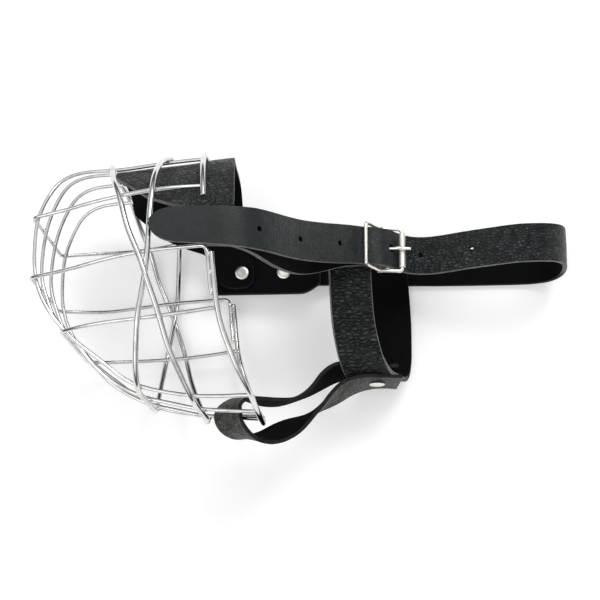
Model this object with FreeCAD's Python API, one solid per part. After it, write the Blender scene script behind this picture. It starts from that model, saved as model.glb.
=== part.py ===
import FreeCAD, Part
import math
import os

# Wire basket muzzle for a medium dog, lying on its left side on a flat floor.
# Millimetres.  X runs from the nose to the neck, Y towards the bridge of the
# nose, Z up from the floor.  The near cheek is the upper one, the far cheek is
# the one against the floor.

# ---------------------------------------------------------------- dimensions
heavy_wire = 2.8            # rim, arch bar and the two slanting hoops
light_wire = 2.0            # long wires and the three nose hoops

lean = math.radians(3.78)   # nose dips this much towards the floor
mid_height = 57.95          # height of the mid-plane above the floor at the cheeks
cheek_station = 138.0       # length along the basket where mid_height is measured
chin_level = 55.0           # basket height that lies at Y = 0 of the strap layout
centre_shift = FreeCAD.Vector(-3.9, -0.3, -0.1)   # puts the origin under the middle

leather = 2.4               # thickness of every strap and panel
strap_width = 20.0
throat_width = 22.0
chin_width = 19.0
hole_width = 3.0            # punched holes in the neck strap

nose_front = 10.2           # outer long wires at the flat front
front_half_width = 32.0     # outer long wires, half spacing
inner_half_width = 10.6     # inner long wires, half spacing

tab_side = 41.3             # middle of the saddle's cheek tabs, from the mid-plane
panel_side = tab_side + leather + 0.4
strap_side = panel_side + leather + 0.1
pivot_rivet = (104.5, 81.0)     # along, height: the collar turns about this one
rear_rivet_gap = 22.0           # from the pivot rivet to the far second cheek rivet
near_rear_rivet = 22.0          # Y of the near second cheek rivet

rivet_post = 3.0
rivet_cap = 7.4
rivet_washer = 8.6
pivot_gap = 0.08            # running fit of the pivot rivets in the saddle tabs

buckle_wire = 2.0
fold_gap = 0.3              # slack of the strap's fold on the buckle bar
roller_outer = 3.4
roller_inner = 2.16
tongue_wire = 1.7
strap_middle = 32.1             # Y of the neck strap and of the buckle
buckle_bar = (41.3, 38.5)       # middle bar, X and Z
frame_half = 11.3
frame_front = (33.5, 50.8)      # keeper bar over the strap, X and Z
frame_rear = (52.9, 37.4)       # roller bar
flex_line = (30.9, 48.6)        # X and Z where the free end leaves the buckle

# ------------------------------------------------------------------- helpers
V = FreeCAD.Vector


def place(along, side, height):
    """Basket coordinates (from nose, near side, above chin) to the layout."""
    back = along - cheek_station
    x = back * math.cos(lean) - side * math.sin(lean)
    z = back * math.sin(lean) + side * math.cos(lean) + mid_height
    return V(x, height - chin_level, z)


side_axis = V(-math.sin(lean), 0, math.cos(lean))     # towards the near side


def mirrored(half):
    """A hoop from its near half: the far half is the same, other side first."""
    far = [(a, -s, h) for a, s, h in reversed(half) if s > 0]
    near = list(half)
    return far + near


def spline(points):
    curve = Part.BSplineCurve()
    curve.interpolate(points)
    return curve


def sweep(curve, diameter):
    """A round wire along a curve, as short straight lengths end to end."""
    length = curve.length()
    count = max(8, round(length / 3.0))
    marks = [curve.parameterAtDistance(length * i / count, curve.FirstParameter)
             for i in range(count + 1)]
    rings = []
    across = None
    for mark in marks:
        tangent = curve.tangent(mark)[0]
        if across is None:
            across = tangent.cross(V(0.3, 0.5, 0.8))
        across = (across - tangent * across.dot(tangent)).normalize()
        circle = Part.Circle(curve.value(mark), tangent, diameter / 2)
        circle.XAxis = across
        rings.append(Part.Wire(circle.toShape()))
    return Part.makeLoft(rings, True, True)


def wire(points, diameter):
    """A bent wire through basket coordinates."""
    return sweep(spline([place(*p) for p in points]), diameter)


def corner(before, at, after, radius, steps=4):
    """Points of a rounded bend at `at`, between its two neighbours."""
    a = V(*before) - V(*at)
    b = V(*after) - V(*at)
    a.normalize()
    b.normalize()
    half = a.getAngle(b) / 2
    reach = radius / math.tan(half)
    middle = a + b
    middle.normalize()
    centre = V(*at) + middle * (radius / math.sin(half))
    first = V(*at) + a * reach - centre
    last = V(*at) + b * reach - centre
    sweep_angle = first.getAngle(last)
    points = []
    for i in range(steps + 1):
        f = i / steps
        p = (first * math.sin((1 - f) * sweep_angle) + last * math.sin(f * sweep_angle))
        p = centre + p * (1 / math.sin(sweep_angle))
        points.append((p.x, p.y, p.z))
    return points


def blend(values, marks, t):
    """Smooth curve through vectors at the given marks (Catmull-Rom)."""
    last = len(marks) - 2
    i = max(k for k in range(last + 1) if marks[k] <= t or k == 0)
    before, after = values[max(i - 1, 0)], values[min(i + 2, last + 1)]
    a, b = values[i], values[i + 1]
    f = (t - marks[i]) / (marks[i + 1] - marks[i])
    start, end = (b - before) * 0.5, (after - a) * 0.5
    return (a * (2 * f ** 3 - 3 * f ** 2 + 1) + b * (3 * f ** 2 - 2 * f ** 3)
            + start * (f ** 3 - 2 * f ** 2 + f) + end * (f ** 3 - f ** 2))


def ribbon(stations, width, thickness, steps, trim=None):
    """A flat strap.  Each station is a centre point and its outward normal.

    trim(f) gives the share of the full width left at fraction f of the strap.
    """
    centre = spline([V(*p) for p, n in stations])
    marks = [centre.parameter(V(*p)) for p, n in stations]
    normals = [V(*n).normalize() for p, n in stations]
    sections = []
    for i in range(steps + 1):
        f = i / steps
        t = marks[0] + (marks[-1] - marks[0]) * f
        point = centre.value(t)
        tangent = centre.tangent(t)[0]
        across = tangent.cross(blend(normals, marks, t)).normalize()
        normal = across.cross(tangent).normalize()
        w = width / 2 * (trim(f) if trim else 1.0)
        h = thickness / 2
        ring = [point + across * (a * w) + normal * (b * h)
                for a, b in ((-1, -1), (1, -1), (1, 1), (-1, 1))]
        sections.append(Part.makePolygon(ring + ring[:1]))
    return Part.makeLoft(sections, True, True)


def rod(centre, axis, diameter, low, high):
    """A round bar along an axis, from low to high measured from the centre."""
    return Part.makeCylinder(diameter / 2, high - low, centre + axis * low, axis)


def dome(centre, axis, diameter, height):
    """A domed rivet cap whose flat side is at the centre point."""
    ball = (diameter ** 2 / 4 + height ** 2) / (2 * height)
    sphere = Part.makeSphere(ball, centre - axis * (ball - height))
    return sphere.common(rod(centre, axis, diameter, 0, height))


def rivet(centre, axis, low, high, inner_style="cap"):
    """A tubular rivet: post, a domed cap on top and a head below."""
    body = rod(centre, axis, rivet_post, low, high)
    body = body.fuse(rod(centre, axis, rivet_washer, high, high + 0.4))
    body = body.fuse(dome(centre + axis * (high + 0.4), axis, rivet_cap, 1.0))
    body = body.fuse(rod(centre, axis, rivet_cap, low - 0.5, low))
    return body.removeSplitter()


# ------------------------------------------------------------- basket wires
def outer_profile():
    """Outer long wire on the near side, from the arch bar round to the rim."""
    return [(91.5, 24.0, 122.0), (68, 24.5, 119.4), (46, 25.2, 116.5), (30, 26.5, 114.8),
            (21.5, 28.2, 110.4), (15.8, 30.4, 102), (11.6, 31.6, 91),
            (nose_front, front_half_width, 76), (nose_front + 0.8, front_half_width, 62),
            (13.4, front_half_width, 53), (17.4, front_half_width, 45), (24, 31.6, 36),
            (34.5, 30.6, 26), (46.5, 29, 16.8), (56, 27.6, 9.6), (64, 26.6, 6.2),
            (76, 26, 3.4), (90, 25.6, 1.6), (104, 25.8, 1.3), (116.6, 26.8, 1.4)]


def inner_profile():
    """Inner long wire on the near side, from the arch bar round to the rim."""
    return [(91.5, 8.0, 124.4), (66, 8.0, 122.6), (41, 8.2, 120.3), (28, 9.0, 118.4),
            (21, 9.8, 114.2), (16, 10.4, 106.5), (11.6, inner_half_width, 94.5),
            (9.2, inner_half_width, 78), (9.6, inner_half_width, 64),
            (12.6, inner_half_width, 54), (16.6, inner_half_width, 45),
            (26.2, inner_half_width, 34), (36, 10, 21.8), (48, 9.4, 11.6),
            (58, 9, 6.4), (64, 8.8, 4.2), (74, 8.8, 1.8), (88, 9, -1.2),
            (104, 9.4, -2.6), (118.4, 9.6, -3.4)]


def flip(points):
    return [(a, -s, h) for a, s, h in points]


def hoop(front, level, half, arm):
    """A nose hoop: straight across the front, rounded corners, two arms."""
    bend = corner((front, 0, level), (front, half, level), arm[0], 3.2)
    return mirrored([(front, 10, level), (front, 24, level)] + bend + arm)


def upper_hoop():
    arm = [(25.5, 37.2, 92.2), (39.5, 42, 94.2), (54, 44.8, 96.4), (69.5, 44.8, 99.1),
           (82, 42.4, 101), (94.5, 38.9, 102.6)]
    return hoop(8.9, 90, 32.6, arm)


def middle_hoop():
    arm = [(22, 38.2, 60.4), (35, 43.2, 61.8), (48, 46.4, 64.2), (64, 48.4, 66.6),
           (80, 49.3, 68.2), (90.5, 49.7, 68.9)]
    turn = corner(arm[-1], (96.8, 49.9, 69.2), (98.0, 49.6, 57), 2.6)
    return hoop(8.8, 59.6, 32.8, arm + turn + [(98.0, 49.5, 57), (99.3, 48.4, 45)])


def lower_hoop():
    arm = [(34, 38.0, 33.0), (48, 42.3, 34.2), (63.5, 44.6, 35.3), (76, 45.4, 36.4),
           (89, 45.6, 38), (101.6, 45.4, 39.8)]
    return hoop(25.2, 32.2, 33.2, arm)


def front_slant():
    """Closed hoop over the bridge and down both sides to the chin."""
    return [(42.6, 0, 122.9), (43.2, 9, 122.4), (44.4, 18.5, 121), (46.2, 26.6, 118),
            (48.6, 37, 110), (51.2, 43.8, 102.6), (53.8, 47, 96), (58.8, 49.6, 79),
            (64, 50.6, 66.5), (67.4, 51.5, 57.5), (71.4, 49.8, 46), (74.6, 47.6, 36),
            (77.4, 43.6, 25.6), (81, 38, 15.6), (85, 31.8, 6.6), (88.2, 25.6, -0.4),
            (90.4, 16, -3.4), (91.6, 8, -4.4), (92, 0, -4.7)]


def rear_slant():
    """Hoop from the chin up both sides, its tips welded on the outer wires."""
    return [(64.6, 0, 1.2), (64.4, 9, 1.8), (63.2, 18, 2.8), (62.4, 27.4, 4.6),
            (62.2, 34.4, 10.6), (62.8, 40.2, 20.6), (63.6, 44.3, 29), (64.4, 46.8, 36.2),
            (66.4, 48.4, 49), (67.7, 49.0, 58), (68.8, 50.6, 68), (69.4, 49.6, 84),
            (69.9, 47, 99), (70.3, 42.6, 107.6), (71.2, 35, 115.6), (72.4, 27.6, 120.2),
            (75.4, 22.6, 122.6)]


def rim():
    """Rear rim, a U open at the top, its ends beside the middle hoop's ends."""
    return [(119.2, 0, -6.0), (119.1, 9, -5.6), (118.4, 18, -3.8), (117.2, 27.2, -0.6),
            (114.6, 34.6, 4.6), (111.4, 39.6, 11), (107.8, 43.6, 20), (104.4, 46.2, 29.6),
            (102, 47.7, 40), (100.2, 49.2, 55), (99, 49.4, 66.4)]


def arch():
    """Short bar over the bridge that closes the top of the basket."""
    return [(91.6, 0, 127.0), (91.6, 8, 126.6), (91.8, 17, 125.6), (91.9, 25.2, 123.6),
            (92.4, 32, 118.4), (93, 37.6, 110.8), (93.6, 41.0, 102.8), (94, 42.6, 96.4)]


# ------------------------------------------------------------------ leather

def bridge_section(along, low, top):
    """Cross-section of the bridge leather: an arch, low edge to low edge."""
    drop = top - low
    half = [(0, top), (9, top - 0.3), (17.5, top - 1.3), (24.5, top - 3.8),
            (30.5, top - 9), (35.4, top - 16.5), (39, top - 0.75 * drop - 2),
            (tab_side + leather / 2, low)]
    half = [p for p in half[:-1] if p[1] > low + 2.5] + [half[-1]]
    if drop < 20:
        edge = 22.5 + 0.68 * drop
        half = [(0, top), (9, top - 0.3), (18, top - 1.8), (edge, low)]
    outer = [(-s, h) for s, h in reversed(half[1:])] + half
    inner = []
    for s, h in outer:
        out = V(s, 0, (h - top + 44) * 0.9)
        out.normalize()
        inner.append((s - out.x * leather, h - out.z * leather))
    rows = [[place(along, s, h) for s, h in row] for row in (outer, inner)]
    edges = [spline(row).toShape() for row in rows]
    ends = [Part.makeLine(rows[0][i], rows[1][i]) for i in (0, -1)]
    return Part.Wire(Part.__sortEdges__(edges + ends))


def cheek_tab(side):
    """Flat leather tab of the saddle, from the bridge down to the pivot rivet."""
    outline = [(87.5, 97), (87.5, 91), (94, 76), (98, 72.6), (107, 72.6), (110.5, 76),
               (110.5, 88), (104, 96)]
    inner = side * (tab_side - leather / 2)
    face = Part.Face(Part.makePolygon([place(a, inner, h) for a, h in outline + outline[:1]]))
    return face.extrude(side_axis * (side * leather))


def nose_saddle():
    """Leather over the bridge, with flanks and the tabs that carry the rivets."""
    rows = [(48.5, 111.5, 119.2), (56, 106, 119.8), (66, 98.5, 121), (76, 94.5, 121.9),
            (88, 91.5, 123.2), (96, 91, 124.8), (105.6, 91.5, 125.8)]
    saddle = Part.makeLoft([bridge_section(*row) for row in rows], True, False)
    for side in (1, -1):
        saddle = saddle.fuse(cheek_tab(side))
        hole = rod(place(pivot_rivet[0], 0, pivot_rivet[1]), side_axis,
                   rivet_post + 2 * pivot_gap, -70, 70)
        saddle = saddle.cut(hole)
    return saddle


def near_cheek_path(offset):
    """The near cheek leather: flat over the tab, then folded in behind the rim.

    offset moves the path out from the middle of the cheek strap.
    """
    spine = [(97, 0), (104.5, 0), (111.5, 0), (117.5, -3.4), (122, -10), (127, -19.2),
             (133, -31), (138.5, -41.5), (144, -50.5), (150.5, -57.1), (158, -61.1),
             (165, -63.1), (170.8, -64.4)]
    points = [place(a, strap_side + s, 0) for a, s in spine]
    curve = spline(points)
    path = []
    for p in points:
        tangent = curve.tangent(curve.parameter(p))[0]
        normal = tangent.cross(V(0, 1, 0)).normalize()
        path.append((p + normal * offset, normal))
    return path


def cheek_panel(side):
    """Wide leather plate between the tab and the strap, rounded at its rear."""
    if side > 0:
        path = near_cheek_path(panel_side - strap_side)[:7]
        front = place(88, panel_side, 0)
        path = [(front, path[0][1])] + path
        middles = [24.6, 24.5, 24.2, 23.6, 22.8, 22, 21.6, 21.6]
        width = 17.6
    else:
        outward = side_axis * -1
        path = [(place(a, -panel_side, 0), outward) for a in (88, 97, 104.5, 116, 128, 139, 146)]
        middles = [26.4] * len(path)
        width = 22.6
    stations = [((p.x, y, p.z), tuple(n)) for (p, n), y in zip(path, middles)]

    def trim(f):
        return 1.0 if f < 0.8 else 1.0 - 0.45 * ((f - 0.8) / 0.2) ** 2

    return ribbon(stations, width, leather, 24, trim)


def cheek_strap():
    """Near strap: from the cheek rivets to its fold round the buckle's bar."""
    centres = [24.4, 24, 22.8, 21.4, 20.3, 19.7, 20.1, 22, 25.1, 28.3, 30.6, 31.6, 32.1]
    path = near_cheek_path(0)
    stations = [((p.x, y, p.z), tuple(n)) for (p, n), y in zip(path, centres)]
    bar_x, bar_z = buckle_bar
    fold = buckle_wire / 2 + fold_gap + leather / 2
    for angle in (90, 45, 0, -45, -90):
        a = math.radians(angle)
        n = (math.cos(a), 0, math.sin(a))
        stations.append(((bar_x + fold * n[0], strap_middle, bar_z + fold * n[2]), n))
    stations.append(((bar_x - 3.5, strap_middle, bar_z - fold + 0.1), (0, 0, -1)))
    stations.append(((bar_x - 8, strap_middle, bar_z - fold + 0.4), (0, 0, -1)))

    def trim(f):
        front = 0.14 * (1 - min(1, f / 0.3))
        return 1.0 - front - 0.03 * min(1, max(0, (f - 0.6) / 0.1))

    strap = ribbon(stations, strap_width, leather, 70, trim)
    slot = Part.makeBox(fold + 6, 3.6, 2 * fold + 4,
                        V(bar_x - 3.4, strap_middle - 1.8, bar_z - fold - 2))
    return strap.cut(slot)


# Neck strap in side view: (X, Y of its middle, Z, outward normal in X and Z).
loop_end = [(113, 33.4, 46.0, 0.05, 1), (124, 33.8, 46.0, 0.15, 1), (131.2, 34.3, 43.4, 0.6, 1),
            (136, 34.8, 37.8, 1, 0.45), (138.3, 35, 29.5, 1, 0.1), (138.8, 35, 20.5, 1, -0.05),
            (137.3, 34.8, 11.8, 1, -0.3), (133, 34.4, 5.2, 0.8, -1), (126, 34, 2.5, 0.2, -1),
            (116, 33.7, 1.5, 0, -1)]
near_run = [(37.4, 32.2, 44.9, 0, 1), (41.3, 32.1, 43.9, 0.3, 1), (45, 32.2, 41.0, 0.8, 1),
            (48.6, 32.2, 36.4, 1, 1), (52.4, 32.2, 31.9, 0.8, 1), (57, 32.1, 28.6, 0.4, 1),
            (63, 32.1, 27.0, 0.05, 1), (71, 32.2, 28.4, -0.25, 1), (84, 32.7, 34.2, -0.4, 1),
            (100, 33.1, 41.4, -0.35, 1)]
far_run = [(100, 33.4, 1.3, 0, -1), (78, 33, 1.3, 0, -1), (58, 33, 1.3, 0, -1),
           (42, 33, 1.5, 0, -1), (30, 32.8, 2.7, 0.1, -1), (18, 32.2, 5.3, 0.2, -1),
           (6, 31.2, 8.3, 0.2, -1)]
free_run = [(33.2, 31.9, 46.6, 0.35, 1), (27, 30.9, 51.6, 0.9, 1), (20, 29.2, 58.4, 1, 1),
            (10, 26.7, 68.8, 1, 1), (0, 24.7, 79.6, 1, 1), (-8, 23.9, 88.4, 1, 1),
            (-16, 23.5, 97.2, 0.95, 1), (-22.5, 23.2, 102.8, 0.6, 1),
            (-29, 23, 106.2, 0.25, 1), (-36.5, 23.1, 107.7, 0.08, 1),
            (-48, 23.5, 107.9, 0, 1), (-60, 23.7, 107.8, 0, 1), (-71.6, 25, 107.6, 0, 1)]


def in_side_view(rows):
    return [((x, y, z), (nx, 0, nz)) for x, y, z, nx, nz in rows]


def neck_path():
    """Whole neck strap from its tip over the cage to the far cheek rivets."""
    cheek = []
    for along, middle in ((126.5, 29.6), (117, 28.2), (104.5, 26.6), (97, 26)):
        p = place(along, -strap_side, 0)
        cheek.append(((p.x, middle, p.z), (-side_axis.x, 0, -side_axis.z)))
    rows = list(reversed(free_run)) + near_run + loop_end + far_run
    return in_side_view(rows) + cheek


def punch(strap, x):
    """One round hole through the near run at a place along X."""
    rows = [((p[0], p[1], p[2]), n) for p, n in neck_path()[:23]]
    for (a, na), (b, nb) in zip(rows, rows[1:]):
        if a[0] <= x < b[0]:
            f = (x - a[0]) / (b[0] - a[0])
            centre = V(*a) * (1 - f) + V(*b) * f
            along = V(*b) - V(*a)
            out = V(along.z * -1, 0, along.x).normalize()
            return strap.cut(rod(centre, out, hole_width, -4, 4))
    return strap


def neck_strap():
    """Neck strap from the flex line at the buckle round to the far cheek."""
    stations = [((flex_line[0] + 0.6, 31.5, 48.0), (0.75, 0, 1))] + neck_path()[12:]

    def trim(f):
        return 0.97 + 0.03 * min(1, max(0, (f - 0.07) / 0.05))

    strap = ribbon(stations, strap_width, leather, 110, trim)
    for x in (63.1, 88.8):
        strap = punch(strap, x)
    tongue_way = rod(V(buckle_bar[0] + 1.6, strap_middle, buckle_bar[1] + 1.4),
                     V(1, 0, 0.28).normalize(), 4.4, 0, 9.5)
    return strap.cut(tongue_way)


def neck_strap_tip():
    """Free end of the neck strap: up from the buckle and over the cage wires."""
    stations = neck_path()[:12] + [((flex_line[0] - 0.3, 31.5, 49.1), (0.8, 0, 1))]

    def trim(f):
        nose = 0.125
        if f > nose:
            return 0.87 + 0.13 * min(1, (f - nose) / 0.3) - 0.03 * max(0, (f - 0.8) / 0.2)
        g = 1 - f / nose
        return 0.87 * max(0.12, math.sqrt(max(0.0, 1 - g ** 1.9)))

    strap = ribbon(stations, strap_width, leather, 90, trim)
    for x in (-20.2, -0.8, 19.2):
        strap = punch(strap, x)
    return strap


throat_near_top = V(24.2, 31, 41.9)
throat_far_top = V(46.9, 34.4, 4.5)


def throat_strap():
    """U-shaped throat strap between the near cheek strap and the neck strap."""
    rows = [((25.1, 41.5, 41.7), (0.22, 0, 1)), ((25.2, 31, 41.7), (0.22, 0, 1)),
            ((25.6, 18, 41.6), (0.2, 0, 1)), ((26.2, 4, 42), (0.16, 0, 1)),
            ((27.4, -10, 42.6), (0.12, -0.05, 1)), ((29.2, -20, 42.6), (0.1, -0.3, 1)),
            ((31.6, -27.8, 40.4), (0.1, -0.8, 1)), ((34.6, -32, 36), (0.05, -1, 0.5)),
            ((37.6, -32.9, 31), (0, -1, 0.08)), ((40.6, -32.9, 25.4), (0, -1, 0)),
            ((43.6, -31.9, 19.2), (0, -1, -0.3)), ((46, -28.6, 13.2), (0, -1, -0.8)),
            ((47.6, -22, 8.6), (0, -0.45, -1)), ((48.2, -12, 5.9), (0, -0.15, -1)),
            ((48.2, 2, 4.7), (0, 0, -1)), ((47.4, 18, 4.5), (0, 0, -1)),
            ((46.9, 31, 4.5), (0, 0, -1)), ((46.8, 41.5, 4.5), (0, 0, -1))]
    return ribbon(rows, throat_width, leather, 60)


chin_rivet = V(39.4, -32.9, 28)


def chin_strap():
    """One strap from the throat strap round the bottom of the rim and back."""
    rows = [((51, -35.4, 26.6), (0, -1, 0.1)), ((39.4, -35.5, 28), (0, -1, 0.12)),
            ((31, -37.2, 29.8), (0, -1, 0.25)), ((22.5, -41, 32.8), (0, -1, 0.4)),
            ((14, -47.2, 36.2), (0, -1, 0.25)), ((6.5, -53.6, 39.2), (0, -1, 0.02)),
            ((-1.5, -59.4, 42.2), (0, -1, -0.3)), ((-10, -65.2, 46), (0, -1, -0.52)),
            ((-17, -68.4, 49), (0, -1, -0.45)), ((-23.4, -68.8, 51.8), (-0.15, -1, -0.2)),
            ((-29.4, -66.6, 53.8), (-0.6, -1, 0.3)), ((-33.7, -62.6, 54.8), (-1, -0.65, 0.8)),
            ((-35.4, -57.6, 55), (-1, 0, 0.98)), ((-34, -52.8, 54.6), (-1, 0.8, 0.75)),
            ((-30, -49.6, 53.2), (-0.4, 1, 0.35)), ((-24, -48.8, 50.8), (0, 1, 0.15)),
            ((-16, -49.4, 46.6), (0, 1, 0.05)), ((-6, -48.2, 41.4), (0, 1, 0)),
            ((2, -43.6, 37.4), (0, 1, -0.12)), ((10, -36.8, 34), (0, 1, -0.3)),
            ((17.5, -31.8, 31.6), (0, 1, -0.35)), ((27, -29.8, 29.8), (0, 1, -0.22)),
            ((39.4, -30.3, 28), (0, 1, -0.1)), ((49, -29.4, 26.8), (0, 1, -0.1))]
    return ribbon(rows, chin_width, leather, 96)


# ----------------------------------------------------------------- hardware
def bar_between(a, b, diameter):
    axis = b - a
    return rod(a, axis * (1 / axis.Length), diameter, 0, axis.Length)


def buckle_frame():
    """Wire frame bent at its middle, with the bar that the strap folds round."""
    corners = []
    for y in (strap_middle - frame_half, strap_middle + frame_half):
        row = [V(x, y, z) for x, z in (frame_front, buckle_bar, frame_rear)]
        corners.append(row)
    low, high = corners
    ring = low + high[::-1]
    frame = Part.makeSphere(buckle_wire / 2, ring[0])
    for a, b in zip(ring, ring[1:] + ring[:1]):
        frame = frame.fuse(bar_between(a, b, buckle_wire))
        frame = frame.fuse(Part.makeSphere(buckle_wire / 2, b))
    return frame.fuse(bar_between(low[1], high[1], buckle_wire)).removeSplitter()


def roller():
    """Rolled tube that turns on the rear bar."""
    centre = V(frame_rear[0], strap_middle, frame_rear[1])
    tube = rod(centre, V(0, 1, 0), roller_outer, -9.2, 9.2)
    return tube.cut(rod(centre, V(0, 1, 0), roller_inner, -12, 12))


def tongue():
    """Buckle pin: an eye round the middle bar and a shank through the strap."""
    bar = V(buckle_bar[0], strap_middle, buckle_bar[1])
    eye = Part.makeCylinder(buckle_wire / 2 + 0.08 + 1.1, 1.9, bar - V(0, 0.95, 0), V(0, 1, 0))
    eye = eye.cut(rod(bar, V(0, 1, 0), buckle_wire + 0.16, -3, 3))
    shank = [bar + V(1.7, 0, 0.7), bar + V(4, 0, 1.6), bar + V(7, 0, 2.0),
             V(frame_rear[0], strap_middle, frame_rear[1] + 3.0),
             V(frame_rear[0] + 4.4, strap_middle, frame_rear[1] + 2.8)]
    return eye.fuse(sweep(spline(shank), tongue_wire)).removeSplitter()


def pivot_rivets():
    """Front cheek rivets: they hold the strap to the panel and turn in the tab."""
    along, height = pivot_rivet
    solids = []
    for side in (1, -1):
        axis = side_axis * side
        centre = place(along, 0, height)
        low = tab_side - leather / 2 - 0.1
        high = strap_side + leather / 2
        solids.append(rivet(centre, axis, low, high))
    return Part.makeCompound(solids)


def rear_cheek_rivets():
    """Second cheek rivets, through the strap and the panel only."""
    height = pivot_rivet[1] + 0.8 - chin_level
    near, normal = near_cheek_path(0)[5]
    reach = leather / 2 + leather + 0.1
    solids = [rivet(V(near.x, near_rear_rivet, near.z), normal, -reach - 0.1, leather / 2)]
    far = place(pivot_rivet[0] + rear_rivet_gap, -strap_side, height + chin_level)
    solids.append(rivet(far, side_axis * -1, -reach - 0.1, leather / 2))
    return Part.makeCompound(solids)


def throat_rivets():
    """Hidden rivets at the two upper ends of the throat strap."""
    up = V(0.22, 0, 1).normalize()
    near = rivet(throat_near_top, up, -leather / 2, leather * 1.5 + 0.1)
    far = rivet(throat_far_top, V(0, 0, 1), -3.9, leather / 2)
    return Part.makeCompound([near, far])


def chin_rivet_shape():
    """Flat rivet through both ends of the chin strap and the throat strap."""
    axis = V(0, -1, 0)
    reach = leather * 1.5 + 0.25
    body = rod(chin_rivet, axis, rivet_post, -reach, reach)
    body = body.fuse(rod(chin_rivet, axis, 8.2, reach, reach + 0.3))
    body = body.fuse(dome(chin_rivet + axis * (reach + 0.3), axis, 7.6, 0.5))
    return body.fuse(rod(chin_rivet, axis, rivet_cap, -reach - 0.5, -reach)).removeSplitter()


def fold_rivet():
    """Small rivet that closes the strap's fold in front of the buckle bar."""
    fold = buckle_wire / 2 + fold_gap + leather / 2
    x = buckle_bar[0] - 6
    low = buckle_bar[1] - fold - leather / 2
    return rod(V(x, strap_middle - 5.5, 0), V(0, 0, 1), 2.4, low, buckle_bar[1] + 3.6)


# -------------------------------------------------------------------- parts
def build():
    outer, inner = outer_profile(), inner_profile()
    parts = {
        "long_wire_near_outer": wire(outer, light_wire),
        "long_wire_near_inner": wire(inner, light_wire),
        "long_wire_far_inner": wire(flip(inner), light_wire),
        "long_wire_far_outer": wire(flip(outer), light_wire),
        "nose_hoop_upper": wire(upper_hoop(), light_wire),
        "nose_hoop_middle": wire(middle_hoop(), light_wire),
        "nose_hoop_lower": wire(lower_hoop(), light_wire),
        "slant_hoop_front": wire(mirrored(front_slant()), heavy_wire),
        "slant_hoop_rear": wire(mirrored(rear_slant()), heavy_wire),
        "rear_rim": wire(mirrored(rim()), heavy_wire),
        "arch_bar": wire(mirrored(arch()), heavy_wire),
        "nose_saddle": nose_saddle(),
        "cheek_panel_near": cheek_panel(1),
        "cheek_panel_far": cheek_panel(-1),
        "cheek_strap": cheek_strap(),
        "neck_strap": neck_strap(),
        "neck_strap_tip": neck_strap_tip(),
        "throat_strap": throat_strap(),
        "chin_strap": chin_strap(),
        "buckle_frame": buckle_frame(),
        "buckle_roller": roller(),
        "buckle_tongue": tongue(),
        "pivot_rivets": pivot_rivets(),
        "rear_cheek_rivets": rear_cheek_rivets(),
        "throat_rivets": throat_rivets(),
        "chin_rivet": chin_rivet_shape(),
        "fold_rivet": fold_rivet(),
    }
    return parts


os.makedirs("parts", exist_ok=True)
for name, shape in build().items():
    shape.translate(centre_shift)
    shape.exportStep("parts/" + name + ".step")
    box = shape.BoundBox
    print(name, shape.isValid(), len(shape.Solids), round(shape.Volume),
          [round(v, 1) for v in (box.XMin, box.XMax, box.YMin, box.YMax, box.ZMin, box.ZMax)])
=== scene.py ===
import math
import bpy
import numpy as np
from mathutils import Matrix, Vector, noise


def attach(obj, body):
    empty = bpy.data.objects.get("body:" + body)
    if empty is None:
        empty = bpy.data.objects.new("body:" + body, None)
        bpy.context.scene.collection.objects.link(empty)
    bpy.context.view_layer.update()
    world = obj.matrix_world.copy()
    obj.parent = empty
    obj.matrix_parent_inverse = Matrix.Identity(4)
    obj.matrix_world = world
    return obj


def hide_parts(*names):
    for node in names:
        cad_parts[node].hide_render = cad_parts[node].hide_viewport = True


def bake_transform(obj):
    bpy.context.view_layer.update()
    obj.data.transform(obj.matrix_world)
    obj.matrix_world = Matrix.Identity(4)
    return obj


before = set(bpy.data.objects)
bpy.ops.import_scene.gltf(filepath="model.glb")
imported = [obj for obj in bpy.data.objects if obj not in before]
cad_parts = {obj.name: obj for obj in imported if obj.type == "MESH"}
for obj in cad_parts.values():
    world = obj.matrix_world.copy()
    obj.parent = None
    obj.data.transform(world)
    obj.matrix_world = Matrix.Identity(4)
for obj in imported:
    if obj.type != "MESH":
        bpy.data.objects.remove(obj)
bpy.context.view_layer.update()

MM = 0.001

# Main sizes of the muzzle in millimetres.  They are the CAD model's, except for the
# ones marked as shown differently.
HEAVY, LIGHT = 2.8, 2.0
LEAN = math.radians(3.78)
MID_HEIGHT, CHEEK_STATION, CHIN_LEVEL = 57.95, 138.0, 55.0
SHIFT = np.array([-3.9, -0.3, -0.1])
LEATHER = 2.4
TAB_SIDE = 41.3
PANEL_SIDE = TAB_SIDE + LEATHER + 0.4
STRAP_SIDE = PANEL_SIDE + LEATHER + 0.1
STRAP_MIDDLE = 32.1
BAR = (41.3, 38.5)
FRAME_FRONT, FRAME_REAR = (33.5, 50.8), (52.9, 37.4)
FRAME_HALF = 11.3
CHIN_LEATHER = 1.9              # shown thinner than LEATHER
NEAR_PLATE_WIDTH = 17.6
FAR_PLATE_WIDTH = 25.4          # shown wider, the CAD's is 22.6
FAR_PLATE_MIDDLE = 27.8         # shown higher, the CAD's is 26.4


# ------------------------------------------------------------------ geometry
def place(along, side, height):
    """Basket coordinates (from nose, near side, above chin) to millimetres."""
    back = along - CHEEK_STATION
    return np.array([back * math.cos(LEAN) - side * math.sin(LEAN), height - CHIN_LEVEL,
                     back * math.sin(LEAN) + side * math.cos(LEAN) + MID_HEIGHT]) + SHIFT


SIDE_AXIS = np.array([-math.sin(LEAN), 0, math.cos(LEAN)])


def unit(v):
    return v / np.linalg.norm(v, axis=-1, keepdims=True)


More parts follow.
